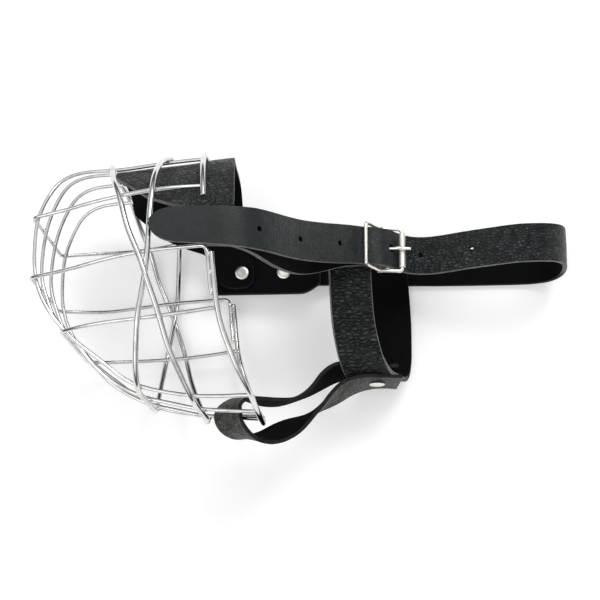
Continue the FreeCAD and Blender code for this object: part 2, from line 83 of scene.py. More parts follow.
def natural_spline(marks, values, at):
    """Smooth curve through the values, evaluated at the given marks."""
    marks, values, at = np.asarray(marks, float), np.asarray(values, float), np.asarray(at)
    n, h = len(marks), np.diff(marks)
    system, right = np.eye(n), np.zeros_like(values)
    for i in range(1, n - 1):
        system[i, i - 1:i + 2] = h[i - 1], 2 * (h[i - 1] + h[i]), h[i]
        right[i] = 6 * ((values[i + 1] - values[i]) / h[i]
                        - (values[i] - values[i - 1]) / h[i - 1])
    bend = np.linalg.solve(system, right)
    k = np.clip(np.searchsorted(marks, at, side="right") - 1, 0, n - 2)
    a, b, w = (marks[k + 1] - at), (at - marks[k]), h[k]
    a, b, w = a[:, None], b[:, None], w[:, None]
    return (bend[k] * a ** 3 / (6 * w) + bend[k + 1] * b ** 3 / (6 * w)
            + (values[k] / w - bend[k] * w / 6) * a + (values[k + 1] / w - bend[k + 1] * w / 6) * b)


def smooth_line(points, step):
    """Evenly spaced points on the smooth curve through the given ones, and their marks."""
    points = np.asarray(points, float)
    marks = np.concatenate([[0], np.cumsum(np.linalg.norm(np.diff(points, axis=0), axis=1))])
    fine = np.linspace(0, marks[-1], int(marks[-1] * 5) + 2)
    curve = natural_spline(marks, points, fine)
    length = np.concatenate([[0], np.cumsum(np.linalg.norm(np.diff(curve, axis=0), axis=1))])
    count = max(3, int(round(length[-1] / step)) + 1)
    even = np.linspace(0, length[-1], count)
    at = np.interp(even, length, fine)
    return natural_spline(marks, points, at), at, marks


def mesh_piece(name, verts, faces, materials, smooth=True):
    mesh = bpy.data.meshes.new(name)
    mesh.from_pydata([tuple(v) for v in np.asarray(verts) * MM], [], faces)
    mesh.validate()
    mesh.polygons.foreach_set("use_smooth", [smooth] * len(mesh.polygons))
    piece = bpy.data.objects.new(name, mesh)
    bpy.context.scene.collection.objects.link(piece)
    for material in materials:
        mesh.materials.append(material)
    return piece


def apply_modifiers(piece):
    """Bakes the piece's modifiers into its mesh."""
    graph = bpy.context.evaluated_depsgraph_get()
    mesh = bpy.data.meshes.new_from_object(piece.evaluated_get(graph))
    piece.modifiers.clear()
    piece.data = mesh
    return piece


def tube(line, diameters, sides=14, closed_ends=True):
    """Vertices and faces of a round bar along a line, ends slightly rounded off."""
    line = np.asarray(line, float)
    n = len(line)
    tangents = unit(np.gradient(line, axis=0))
    across = np.cross(tangents[0], [0.3, 0.5, 0.8])
    rings = []
    for i in range(n):
        across = unit(across - tangents[i] * across.dot(tangents[i]))
        other = np.cross(tangents[i], across)
        radius = diameters[i] / 2
        turn = np.arange(sides) * 2 * math.pi / sides
        rings.append(line[i] + radius * (np.cos(turn)[:, None] * across
                                         + np.sin(turn)[:, None] * other))
    if closed_ends:
        for at, sign in ((0, -1), (-1, 1)):
            centre, tangent, radius = line[at], tangents[at] * sign, diameters[at] / 2
            ring = rings[at]
            flat = centre + (ring - centre) * 0.72
            rings[at] = ring - tangent * radius * 0.22
            rings = [flat] + rings if sign < 0 else rings + [flat]
    n = len(rings)
    verts = np.concatenate(rings)
    faces = [(i * sides + j, i * sides + (j + 1) % sides,
              (i + 1) * sides + (j + 1) % sides, (i + 1) * sides + j)
             for i in range(n - 1) for j in range(sides)]
    faces.append(tuple(range(sides))[::-1])
    faces.append(tuple((n - 1) * sides + j for j in range(sides)))
    return verts, faces


def join(parts):
    """Several vertex and face lists as one."""
    verts, faces, base = [], [], 0
    for v, f in parts:
        verts.append(v)
        faces += [tuple(i + base for i in face) for face in f]
        base += len(v)
    return np.concatenate(verts), faces


def lathe(profile, centre, axis, sides=32):
    """A turned shape from (distance along the axis, radius) pairs."""
    axis = unit(np.asarray(axis, float))
    a = unit(np.cross(axis, [0.31, 0.87, 0.4]))
    b = np.cross(axis, a)
    turn = np.arange(sides) * 2 * math.pi / sides
    rings = [centre + axis * d + max(r, 0.01) * (np.cos(turn)[:, None] * a
                                                 + np.sin(turn)[:, None] * b)
             for d, r in profile]
    n = len(rings)
    faces = [(i * sides + j, i * sides + (j + 1) % sides,
              (i + 1) * sides + (j + 1) % sides, (i + 1) * sides + j)
             for i in range(n - 1) for j in range(sides)]
    faces.append(tuple(range(sides))[::-1])
    faces.append(tuple((n - 1) * sides + j for j in range(sides)))
    return np.concatenate(rings), faces


# ----------------------------------------------------------------- materials
def new_material(name):
    material = bpy.data.materials.new(name)
    material.use_nodes = True
    tree = material.node_tree
    shader = tree.nodes["Principled BSDF"]
    return material, tree, shader


def link(tree, a, b):
    tree.links.new(a, b)


def position(tree):
    node = tree.nodes.new("ShaderNodeTexCoord")
    return node.outputs["Object"]


def noise_node(tree, where, scale, detail=3.0, rough=0.5, distortion=0.0):
    node = tree.nodes.new("ShaderNodeTexNoise")
    link(tree, where, node.inputs["Vector"])
    node.inputs["Scale"].default_value = scale
    node.inputs["Detail"].default_value = detail
    node.inputs["Roughness"].default_value = rough
    node.inputs["Distortion"].default_value = distortion
    return node


def ramp(tree, value, stops):
    node = tree.nodes.new("ShaderNodeValToRGB")
    link(tree, value, node.inputs["Fac"])
    elements = node.color_ramp.elements
    for i, (at, colour) in enumerate(stops):
        element = elements[i] if i < 2 else elements.new(at)
        element.position = at
        element.color = colour + (1.0,) if len(colour) == 3 else (colour[0],) * 3 + (1.0,)
    return node.outputs["Color"]


def math_node(tree, kind, a, b):
    node = tree.nodes.new("ShaderNodeMath")
    node.operation = kind
    for socket, value in zip(node.inputs, (a, b)):
        if isinstance(value, (int, float)):
            socket.default_value = value
        else:
            link(tree, value, socket)
    return node.outputs[0]


def mix_colour(tree, factor, a, b, kind="MIX"):
    node = tree.nodes.new("ShaderNodeMix")
    node.data_type = "RGBA"
    node.blend_type = kind
    if isinstance(factor, (int, float)):
        node.inputs[0].default_value = factor
    else:
        link(tree, factor, node.inputs[0])
    for socket, value in ((node.inputs[6], a), (node.inputs[7], b)):
        if isinstance(value, tuple):
            socket.default_value = value + (1.0,)
        else:
            link(tree, value, socket)
    return node.outputs[2]


def bump(tree, height, distance, strength=1.0, under=None):
    node = tree.nodes.new("ShaderNodeBump")
    link(tree, height, node.inputs["Height"])
    node.inputs["Distance"].default_value = distance
    node.inputs["Strength"].default_value = strength
    if under is not None:
        link(tree, under, node.inputs["Normal"])
    return node.outputs["Normal"]


def chrome(name, tint, rough_low, rough_high, streak=0.00004):
    """Plated metal: patchy dullness, fine drawing marks and darker spots."""
    material, tree, shader = new_material(name)
    where = position(tree)
    patches = noise_node(tree, where, 160, 4, 0.6)
    fine = noise_node(tree, where, 1400, 3, 0.6)
    link(tree, ramp(tree, patches.outputs["Fac"],
                    [(0.32, tuple(c * 0.8 for c in tint)), (0.5, tint),
                     (0.75, tuple(min(1, c * 1.05) for c in tint))]),
         shader.inputs["Base Color"])
    shader.inputs["Metallic"].default_value = 1.0
    link(tree, ramp(tree, patches.outputs["Fac"], [(0.3, (rough_high,)), (0.7, (rough_low,))]),
         shader.inputs["Roughness"])
    link(tree, bump(tree, fine.outputs["Fac"], streak, 0.5), shader.inputs["Normal"])
    return material


def leather_face(name, low, high, cell=620.0, depth=0.00022, rough=(0.42, 0.62), highlight_strength=0.5,
                 stretch=(1.0, 1.0, 1.0), smooth_end=None, gloss=0.3):
    """Pebbled leather: creased cells with a finer grain, painted shade in the creases and painted
    highlights on the pebble tops.

    smooth_end lists X positions with the strength of the pebbles there.
    """
    material, tree, shader = new_material(name)
    where = position(tree)
    warp = noise_node(tree, where, 260, 3, 0.5)
    moved = tree.nodes.new("ShaderNodeVectorMath")
    moved.operation = "MULTIPLY_ADD"
    link(tree, warp.outputs["Color"], moved.inputs[0])
    moved.inputs[1].default_value = (0.0022, 0.0022, 0.0022)
    longer = tree.nodes.new("ShaderNodeVectorMath")
    longer.operation = "MULTIPLY"
    link(tree, where, longer.inputs[0])
    longer.inputs[1].default_value = stretch
    link(tree, longer.outputs[0], moved.inputs[2])
    cells = tree.nodes.new("ShaderNodeTexVoronoi")
    cells.feature = "DISTANCE_TO_EDGE"
    cells.inputs["Scale"].default_value = cell
    link(tree, moved.outputs[0], cells.inputs["Vector"])
    pebble = ramp(tree, cells.outputs["Distance"],
                  [(0.0, (0.0,)), (0.1, (0.3,)), (0.26, (0.72,)), (0.5, (1.0,))])
    fade = 1.0
    if smooth_end:
        parts = tree.nodes.new("ShaderNodeSeparateXYZ")
        link(tree, where, parts.inputs[0])
        along = math_node(tree, "MULTIPLY", parts.outputs["X"], 5.0)
        fade = ramp(tree, math_node(tree, "ADD", along, 0.5),
                    [(x * 5.0 + 0.5, (level,)) for x, level in smooth_end])
        pebble = mix_colour(tree, fade, (0.8, 0.8, 0.8), pebble)
    fine = noise_node(tree, where, 2600, 3, 0.6)
    patch = noise_node(tree, where, 38, 4, 0.5)
    highlight_patches = noise_node(tree, where, 230, 5, 0.6, 0.4)
    colour = ramp(tree, patch.outputs["Fac"], [(0.3, low), (0.7, high)])
    # Painted shade: the colour is darkened down to a tenth in the pebble creases.
    painted_crease_shade = ramp(tree, pebble, [(0.0, (0.1,)), (0.6, (0.62,)), (1.0, (1.0,))])
    colour = mix_colour(tree, 1.0, colour, painted_crease_shade, "MULTIPLY")
    # Painted highlight: in noise patches the pebble tops are lightened towards three times the high
    # colour.
    painted_highlight = math_node(tree, "MULTIPLY", ramp(tree, highlight_patches.outputs["Fac"],
                                            [(0.42, (0.0,)), (0.72, (highlight_strength,))]), pebble)
    painted_highlight = math_node(tree, "MULTIPLY", painted_highlight, fade)
    colour = mix_colour(tree, painted_highlight, colour, tuple(min(1.0, c * 3.0 + 0.01) for c in high))
    link(tree, colour, shader.inputs["Base Color"])
    link(tree, ramp(tree, patch.outputs["Fac"], [(0.3, (rough[1],)), (0.7, (rough[0],))]),
         shader.inputs["Roughness"])
    shader.inputs["Specular IOR Level"].default_value = gloss
    normal = bump(tree, pebble, depth, 1.0)
    normal = bump(tree, fine.outputs["Fac"], 0.00005, 0.5, normal)
    link(tree, normal, shader.inputs["Normal"])
    return material


def leather_flesh(name, low, high):
    """The rough inner side: nearly black, matt, with short fibres."""
    material, tree, shader = new_material(name)
    where = position(tree)
    fibre = noise_node(tree, where, 1900, 5, 0.75, 1.2)
    patch = noise_node(tree, where, 90, 3, 0.5)
    link(tree, mix_colour(tree, patch.outputs["Fac"], low, high), shader.inputs["Base Color"])
    link(tree, ramp(tree, fibre.outputs["Fac"], [(0.2, (0.98,)), (0.8, (0.8,))]),
         shader.inputs["Roughness"])
    shader.inputs["Specular IOR Level"].default_value = 0.06
    link(tree, bump(tree, fibre.outputs["Fac"], 0.00022, 0.8), shader.inputs["Normal"])
    return material


def leather_edge(name, low, high):
    """The cut edge: pale grey fibres with darker patches, and painted shade darkening the edges
    that lie low near the floor.
    """
    material, tree, shader = new_material(name)
    where = position(tree)
    fibre = noise_node(tree, where, 1500, 5, 0.8, 0.8)
    patch = noise_node(tree, where, 210, 3, 0.6)
    colour = ramp(tree, fibre.outputs["Fac"], [(0.3, low), (0.62, high)])
    colour = mix_colour(tree, ramp(tree, patch.outputs["Fac"], [(0.4, (0.0,)), (0.75, (0.55,))]),
                        colour, tuple(c * 0.35 for c in low))
    # Painted shade: edges lower than about 24 mm are darkened, down to an eighth below 14 mm.
    parts = tree.nodes.new("ShaderNodeSeparateXYZ")
    link(tree, where, parts.inputs[0])
    level = ramp(tree, math_node(tree, "MULTIPLY", parts.outputs["Z"], 10.0),
                 [(0.14, (0.12,)), (0.24, (1.0,))])
    colour = mix_colour(tree, 1.0, colour, level, "MULTIPLY")
    link(tree, colour, shader.inputs["Base Color"])
    link(tree, ramp(tree, fibre.outputs["Fac"], [(0.2, (0.95,)), (0.8, (0.7,))]),
         shader.inputs["Roughness"])
    shader.inputs["Specular IOR Level"].default_value = 0.1
    link(tree, bump(tree, fibre.outputs["Fac"], 0.0003, 0.9), shader.inputs["Normal"])
    return material


WIRE = chrome("wire_chrome", (0.66, 0.66, 0.65), 0.05, 0.16)
WELD = chrome("weld_chrome", (0.66, 0.655, 0.63), 0.2, 0.42, 0.0001)
BUCKLE = chrome("buckle_nickel", (0.86, 0.85, 0.78), 0.2, 0.4)
ROLLER = chrome("roller_nickel", (0.9, 0.89, 0.81), 0.42, 0.6)
RIVET = chrome("rivet_nickel", (0.84, 0.83, 0.77), 0.3, 0.48)
# The pebbled leathers below get painted highlights on their pebble tops and painted shade in their
# creases.
STRAP = leather_face("strap_leather", (0.0135, 0.0168, 0.0172), (0.0215, 0.0268, 0.0278),
                     depth=0.00065, rough=(0.34, 0.48), highlight_strength=0.9, stretch=(0.62, 1.15, 1.0),
                     smooth_end=((-0.03, 0.1), (0.01, 0.4), (0.028, 0.5), (0.034, 0.2),
                                 (0.045, 0.2), (0.053, 1.0)))
SMOOTH = leather_face("panel_leather", (0.006, 0.007, 0.007), (0.011, 0.0125, 0.012),
                      cell=900, depth=0.00012, rough=(0.5, 0.66), highlight_strength=0.35)
SADDLE = leather_face("saddle_leather", (0.0145, 0.0172, 0.0178), (0.027, 0.0312, 0.0322),
                      cell=560, depth=0.0008, rough=(0.32, 0.46), highlight_strength=1.0,
                      stretch=(0.7, 1.0, 1.0))
# Painted shade: the walls of punched holes get a nearly black material instead of the cut edge's
# grey.
HOLE_SHADE = leather_flesh("punched_hole_shade", (0.003, 0.003, 0.003), (0.006, 0.006, 0.006))
DARK_EDGE = leather_edge("soft_edge", (0.008, 0.0085, 0.008), (0.028, 0.029, 0.027))
SOFT = leather_face("soft_leather", (0.0085, 0.0110, 0.0112), (0.0165, 0.0205, 0.0208),
                    cell=500, depth=0.0009, rough=(0.34, 0.5), highlight_strength=0.7, stretch=(0.55, 1.2, 1.0))
OLIVE = leather_face("chin_leather", (0.030, 0.0325, 0.0275), (0.066, 0.070, 0.060), cell=640,
                     depth=0.0006, rough=(0.42, 0.6), highlight_strength=0.9)
FLESH = leather_flesh("leather_inside", (0.0025, 0.0026, 0.0032), (0.0055, 0.0056, 0.0065))
EDGE = leather_edge("leather_edge", (0.07, 0.07, 0.066), (0.27, 0.27, 0.255))
# Painted shade: the cheek strap's leather is made nearly black for the shadow it lies in beneath
# the neck strap.
CHEEK_SHADE = leather_face("cheek_leather_painted_shade", (0.0025, 0.0027, 0.003), (0.005, 0.0055, 0.0058), cell=700,
                     depth=0.0003, rough=(0.6, 0.8), highlight_strength=0.2, gloss=0.12)


# ------------------------------------------------------------- basket wires
def rounded(before, at, after, radius, steps=5):
    a, b = unit(np.subtract(before, at)), unit(np.subtract(after, at))
    half = math.acos(np.clip(a.dot(b), -1, 1)) / 2
    reach = radius / math.tan(half)
    centre = np.array(at) + unit(a + b) * (radius / math.sin(half))
    first, last = at + a * reach - centre, at + b * reach - centre
    swing = math.acos(np.clip(unit(first).dot(unit(last)), -1, 1))
    return [tuple(centre + (first * math.sin((1 - f) * swing) + last * math.sin(f * swing))
                  / math.sin(swing)) for f in np.linspace(0, 1, steps)]


def both_sides(half):
    return [(a, -s, h) for a, s, h in reversed(half) if s > 0] + list(half)


def flip(points):
    return [(a, -s, h) for a, s, h in points]


def hoop(front, level, half, arm):
    bend = rounded((front, 0, level), (front, half, level), arm[0], 3.2)
    return both_sides([(front, 10, level), (front, 24, level)] + bend + arm)


outer = [(91.5, 24.0, 122.0), (68, 24.5, 119.4), (46, 25.2, 116.5), (30, 26.5, 114.8),
         (21.5, 28.2, 110.4), (15.8, 30.4, 102), (11.6, 31.6, 91), (10.2, 32, 76),
         (11.0, 32, 62), (13.4, 32, 53), (17.4, 32, 45), (24, 31.6, 36), (34.5, 30.6, 26),
         (46.5, 29, 16.8), (56, 27.6, 9.6), (64, 26.6, 6.2), (76, 26, 3.4), (90, 25.6, 1.6),
         (104, 25.8, 1.3), (116.6, 26.8, 1.4)]
inner = [(91.5, 8.0, 124.4), (66, 8.0, 122.6), (41, 8.2, 120.3), (28, 9.0, 118.4),
         (21, 9.8, 114.2), (16, 10.4, 106.5), (11.6, 10.6, 94.5), (9.2, 10.6, 78),
         (9.6, 10.6, 64), (12.6, 10.6, 54), (16.6, 10.6, 45), (26.2, 10.6, 34), (36, 10, 21.8),
         (48, 9.4, 11.6), (58, 9, 6.4), (64, 8.8, 4.2), (74, 8.8, 1.8), (88, 9, -1.2),
         (104, 9.4, -2.6), (118.4, 9.6, -3.4)]
upper_arm = [(25.5, 37.2, 92.2), (39.5, 42, 94.2), (54, 44.8, 96.4), (69.5, 44.8, 99.1),
             (82, 42.4, 101), (94.5, 38.9, 102.6)]
middle_arm = [(22, 38.2, 60.4), (35, 43.2, 61.8), (48, 46.4, 64.2), (64, 48.4, 66.6),
              (80, 49.3, 68.2), (90.5, 49.7, 68.9)]
middle_turn = rounded(middle_arm[-1], (96.8, 49.9, 69.2), (98.0, 49.6, 57), 2.6)
lower_arm = [(34, 38.0, 33.0), (48, 42.3, 34.2), (63.5, 44.6, 35.3), (76, 45.4, 36.4),
             (89, 45.6, 38), (101.6, 45.4, 39.8)]
front_slant = [(42.6, 0, 122.9), (43.2, 9, 122.4), (44.4, 18.5, 121), (46.2, 26.6, 118),
               (48.6, 37, 110), (51.2, 43.8, 102.6), (53.8, 47, 96), (58.8, 49.6, 79),
               (64, 50.6, 66.5), (67.4, 51.5, 57.5), (71.4, 49.8, 46), (74.6, 47.6, 36),
               (77.4, 43.6, 25.6), (81, 38, 15.6), (85, 31.8, 6.6), (88.2, 25.6, -0.4),
               (90.4, 16, -3.4), (91.6, 8, -4.4), (92, 0, -4.7)]
rear_slant = [(64.6, 0, 1.2), (64.4, 9, 1.8), (63.2, 18, 2.8), (62.4, 27.4, 4.6),
              (62.2, 34.4, 10.6), (62.8, 40.2, 20.6), (63.6, 44.3, 29), (64.4, 46.8, 36.2),
              (66.4, 48.4, 49), (67.7, 49.0, 58), (68.8, 50.6, 68), (69.4, 49.6, 84),
              (69.9, 47, 99), (70.3, 42.6, 107.6), (71.2, 35, 115.6), (72.4, 27.6, 120.2),
              (75.4, 22.6, 122.6)]
rim = [(119.2, 0, -6.0), (119.1, 9, -5.6), (118.4, 18, -3.8), (117.2, 27.2, -0.6),
       (114.6, 34.6, 4.6), (111.4, 39.6, 11), (107.8, 43.6, 20), (104.4, 46.2, 29.6),
       (102, 47.7, 40), (100.2, 49.2, 55), (99, 49.4, 66.4)]
arch = [(91.6, 0, 127.0), (91.6, 8, 126.6), (91.8, 17, 125.6), (91.9, 25.2, 123.6),
        (92.4, 32, 118.4), (93, 37.6, 110.8), (93.6, 41.0, 102.8), (94, 42.6, 96.4)]

wires = {
    "long_wire_near_outer": (outer, LIGHT),
    "long_wire_near_inner": (inner, LIGHT),
    "long_wire_far_inner": (flip(inner), LIGHT),
    "long_wire_far_outer": (flip(outer), LIGHT),
    "nose_hoop_upper": (hoop(8.9, 90, 32.6, upper_arm), LIGHT),
    "nose_hoop_middle": (hoop(8.8, 59.6, 32.8, middle_arm + middle_turn
                              + [(98.0, 49.5, 57), (99.3, 48.4, 45)]), LIGHT),
    "nose_hoop_lower": (hoop(25.2, 32.2, 33.2, lower_arm), LIGHT),
    "slant_hoop_front": (both_sides(front_slant), HEAVY),
    "slant_hoop_rear": (both_sides(rear_slant), HEAVY),
    "rear_rim": (both_sides(rim), HEAVY),
    "arch_bar": (both_sides(arch), HEAVY),
}
lines = {}
for name, (points, diameter) in wires.items():
    line, at, marks = smooth_line([place(*p) for p in points], 1.1)
    lines[name] = (line, diameter)
    widths = [diameter * (1 + 0.012 * noise.noise(Vector(p) * 0.13)) for p in line]
    piece = mesh_piece("shown_" + name, *tube(line, widths, 16), [WIRE])
    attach(piece, "basket")
    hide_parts(name)


def weld_blob(centre, direction, other, size, seed):
    """A small uneven bead where two wires are fused."""
    sphere = []
    rows, cols = 8, 12
    third = unit(np.cross(direction, other))
    second = unit(np.cross(third, direction))
    for i in range(rows + 1):
        polar = math.pi * i / rows
        for j in range(cols):
            turn = 2 * math.pi * j / cols
            v = (direction * math.cos(polar) * 1.35 + second * math.sin(polar) * math.cos(turn)
                 + third * math.sin(polar) * math.sin(turn) * 0.9)
            swell = 1 + 0.16 * noise.noise(Vector(v * 1.7) + Vector((seed, 0, 0)))
            sphere.append(centre + v * size * swell)
    faces = [(i * cols + j, i * cols + (j + 1) % cols, (i + 1) * cols + (j + 1) % cols,
              (i + 1) * cols + j) for i in range(rows) for j in range(cols)]
    return np.array(sphere), faces


beads = []
names = list(lines)
for first in range(len(names)):
    for second in range(first + 1, len(names)):
        (a, da), (b, db) = lines[names[first]], lines[names[second]]
        gap = np.linalg.norm(a[:, None, :] - b[None, :, :], axis=2)
        near = gap.min(axis=1)
        limit = (da + db) / 2 + 0.25
        i = 0
        while i < len(a):
            if near[i] < limit:
                j = i
                while j + 1 < len(a) and near[j + 1] < limit:
                    j += 1
                stops = [i + int(near[i:j + 1].argmin())] if j - i < 9 else [i + 2, (i + j) // 2,
                                                                           j - 2]
                for k in stops:
                    m = int(gap[k].argmin())
                    centre = a[k] * (db / (da + db)) + b[m] * (da / (da + db))
                    ta = unit(a[min(k + 1, len(a) - 1)] - a[max(k - 1, 0)])
                    tb = unit(b[min(m + 1, len(b) - 1)] - b[max(m - 1, 0)])
                    if abs(ta.dot(tb)) > 0.97:
                        tb = unit(np.cross(ta, [0.2, 0.3, 0.9]))
                    beads.append(weld_blob(centre, ta, tb, min(da, db) * 0.62,
                                           1.7 * len(beads)))
                i = j + 1
            i += 1
welds = mesh_piece("wire_welds", *join(beads), [WELD])
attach(welds, "basket")


# ------------------------------------------------------------------ leather
def sheet_piece(name, grid, materials, thickness=LEATHER, holes=(), wobble=0.12, seed=0.0):
    """Leather of even thickness about a grid of points, with punched holes.

    materials are the grain side, the inner side and the cut edge.
    """
    grid = np.asarray(grid, float)
    rows, cols = grid.shape[:2]
    normals = unit(np.cross(np.gradient(grid, axis=0), np.gradient(grid, axis=1)))
    for i in range(rows):
        for j in range(cols):
            p = Vector(grid[i, j])
            push = noise.noise(p * 0.06 + Vector((seed, 0, 0))) * wobble
            push += noise.noise(p * 0.25 + Vector((0, seed, 0))) * wobble * 0.45
            grid[i, j] = grid[i, j] + normals[i, j] * push
    verts = grid.reshape(-1, 3)
    faces = [(i * cols + j, i * cols + j + 1, (i + 1) * cols + j + 1, (i + 1) * cols + j)
             for i in range(rows - 1) for j in range(cols - 1)]
    middles = np.array([verts[list(f)].mean(axis=0) for f in faces])
    removed = np.zeros(len(faces), bool)
    rings = []
    for centre, radius in holes:
        inside = np.linalg.norm(middles - centre, axis=1) < radius * 1.08
        removed |= inside
        ring = {v for f, cut in zip(faces, inside) if cut for v in f}
        rings.append((ring, centre, radius))
    faces = [f for f, cut in zip(faces, removed) if not cut]
    used = {v for f in faces for v in f}
    for ring, centre, radius in rings:
        for v in ring & used:
            away = verts[v] - centre
            verts[v] = centre + unit(away) * radius
    keep = sorted(used)
    index = {v: k for k, v in enumerate(keep)}
    faces = [tuple(index[v] for v in f) for f in faces]
    grain, inside, cut = materials
    piece = mesh_piece(name, verts[keep], faces, [inside, grain, cut, HOLE_SHADE])
    solid = piece.modifiers.new("thickness", "SOLIDIFY")
    solid.thickness = thickness * MM
    solid.offset = 0.0
    solid.use_even_offset = True
    solid.material_offset = 1
    solid.material_offset_rim = 2
    bevel = piece.modifiers.new("edge", "BEVEL")
    bevel.width = 0.42 * MM
    bevel.segments = 2
    bevel.limit_method = "ANGLE"
    bevel.angle_limit = math.radians(50)
    bevel.material = 2
    bevel.harden_normals = False
    apply_modifiers(piece)
    mesh = piece.data
    mesh.polygons.foreach_set("use_smooth", [True] * len(mesh.polygons))
    # Painted shade: cut-edge faces round each hole take the nearly black hole material.
    for centre, radius in holes:
        spot = Vector(centre * MM)
        for face in mesh.polygons:
            if face.material_index == 2 and (face.center - spot).length < (radius + 1.3) * MM:
                face.material_index = 3
    return piece


def strap_grid(stations, width, step=1.0, cols=17, trim=None, cup=0.0):
    """Grid of a flat strap: station centres with outward normals, in millimetres."""
    points = [np.array(p, float) + SHIFT for p, n in stations]
    line, at, marks = smooth_line(points, step)
    normals = natural_spline(marks, [unit(np.array(n, float)) for p, n in stations], at)
    tangents = unit(np.gradient(line, axis=0))
    across = unit(np.cross(tangents, unit(normals)))
    outward = unit(np.cross(across, tangents))
    total = len(line)
    grid = np.zeros((total, cols, 3))
    for i in range(total):
        share = trim(i / (total - 1)) if trim else 1.0
        for j in range(cols):
            u = 2 * j / (cols - 1) - 1
            grid[i, j] = (line[i] + across[i] * (u * width / 2 * share)
                          - outward[i] * (cup * u * u))
    return grid, line, outward, tangents


def facing(grid, outward):
    """Turns the grid over if its grain side would face inwards."""
    i, j = grid.shape[0] // 3, grid.shape[1] // 2
    normal = np.cross(grid[i + 1, j] - grid[i, j], grid[i, j + 1] - grid[i, j])
    return grid if normal.dot(outward[i]) > 0 else grid[:, ::-1]


def tip_trim(length):
    """Share of the width near a strap's rounded point."""
    def trim(f):
        d = f * length
        narrow = 0.03 * math.exp(-((d - 150) / 22) ** 2)
        if d > 16:
            return 0.87 + 0.13 * min(1, (d - 16) / 40) - narrow
        g = 1 - d / 16
        return 0.87 * max(0.1, math.sqrt(max(0.0, 1 - g ** 2.1)))
    return trim


# Neck strap in side view: X, Y of its middle, Z, outward normal in X and Z.
near_run = [(37.4, 32.2, 44.9, 0, 1), (41.3, 32.1, 43.9, 0.3, 1), (45, 32.2, 41.0, 0.8, 1),
            (48.6, 32.2, 36.4, 1, 1), (52.4, 32.2, 31.9, 0.8, 1), (57, 32.1, 28.6, 0.4, 1),
            (63, 32.1, 27.0, 0.05, 1), (71, 32.2, 28.4, -0.25, 1), (84, 32.7, 34.2, -0.4, 1),
            (100, 33.1, 41.4, -0.35, 1)]
loop_end = [(113, 33.4, 46.0, 0.05, 1), (124, 33.8, 46.0, 0.15, 1), (131.2, 34.3, 43.4, 0.6, 1),
            (136, 34.8, 37.8, 1, 0.45), (138.3, 35, 29.5, 1, 0.1), (138.8, 35, 20.5, 1, -0.05),
            (137.3, 34.8, 11.8, 1, -0.3), (133, 34.4, 5.2, 0.8, -1), (126, 34, 2.5, 0.2, -1),
            (116, 33.7, 1.5, 0, -1)]
far_run = [(100, 33.4, 1.3, 0, -1), (78, 33, 1.3, 0, -1), (58, 33, 1.3, 0, -1),
           (42, 33, 1.5, 0, -1), (30, 32.8, 2.7, 0.1, -1), (18, 32.2, 5.3, 0.2, -1),
           (6, 31.2, 8.3, 0.2, -1)]
free_run = [(33.2, 31.9, 46.6, 0.35, 1), (27, 30.9, 51.6, 0.9, 1), (20, 29.2, 58.4, 1, 1),
            (10, 26.7, 68.8, 1, 1), (0, 24.7, 79.6, 1, 1), (-8, 23.9, 88.4, 1, 1),
            (-16, 23.5, 97.2, 0.95, 1), (-22.5, 23.2, 102.8, 0.6, 1),
            (-29, 23, 106.2, 0.25, 1), (-36.5, 23.1, 107.7, 0.08, 1),
            (-48, 23.5, 107.9, 0, 1), (-60, 23.7, 107.8, 0, 1), (-71.6, 25, 107.6, 0, 1)]
neck = [((x, y, z), (nx, 0, nz)) for x, y, z, nx, nz in
        list(reversed(free_run)) + near_run + loop_end + far_run]
for along, middle in ((126.5, 29.6), (117, 28.2), (104.5, 26.6), (97, 26)):
    p = place(along, -STRAP_SIDE, 0) - SHIFT
    neck.append(((p[0], middle, p[2]), tuple(-SIDE_AXIS)))
grid, line, outward, tangents = strap_grid(neck, 20.0, step=0.75, cols=25,
                                           trim=tip_trim(500), cup=0.12)
grid = facing(grid, outward)
holes = []
for x in (-20.2, -0.8, 19.2, 63.1, 88.8):
    on_near = np.where(line[:, 2] > 25)[0]
    k = on_near[np.abs(line[on_near, 0] - (x + SHIFT[0])).argmin()]
    middle_row = grid[k].mean(axis=0)
    nearest = grid.reshape(-1, 3)[np.linalg.norm(grid.reshape(-1, 3) - middle_row,
                                                 axis=1).argmin()]
    holes.append((nearest, 1.35))
k = np.linalg.norm(line - (np.array([46.4, 32.2, 39.6]) + SHIFT), axis=1).argmin()
holes.append((grid[k].mean(axis=0), 2.1))
strap = sheet_piece("neck_strap_whole", grid, [STRAP, FLESH, EDGE], holes=holes, seed=3.1)
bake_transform(strap)
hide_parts("neck_strap", "neck_strap_tip")

# Cheek strap with its fold round the buckle's bar.
spine = [(97, 0), (104.5, 0), (111.5, 0), (117.5, -3.4), (122, -10), (127, -19.2), (133, -31),
         (138.5, -41.5), (144, -50.5), (150.5, -57.1), (158, -61.1), (165, -63.1), (170.8, -64.4)]
cheek_points = [place(a, STRAP_SIDE + s, 0) - SHIFT for a, s in spine]
cheek_line, cheek_at, cheek_marks = smooth_line(cheek_points, 0.5)
cheek_tangents = unit(np.gradient(cheek_line, axis=0))
cheek_normals = []
for mark in cheek_marks:
    tangent = cheek_tangents[np.abs(cheek_at - mark).argmin()]
    cheek_normals.append(unit(np.cross(tangent, [0, 1, 0])))
centres = [24.4, 24, 22.8, 21.4, 20.3, 19.7, 20.1, 22, 25.1, 28.3, 30.6, 31.6, 32.1]
stations = [((p[0], y, p[2]), tuple(n)) for p, n, y in zip(cheek_points, cheek_normals, centres)]
fold = 1.0 + 0.3 + LEATHER / 2
for angle in (90, 45, 0, -45, -90):
    a = math.radians(angle)
    stations.append(((BAR[0] + fold * math.cos(a), STRAP_MIDDLE, BAR[1] + fold * math.sin(a)),
                     (math.cos(a), 0, math.sin(a))))
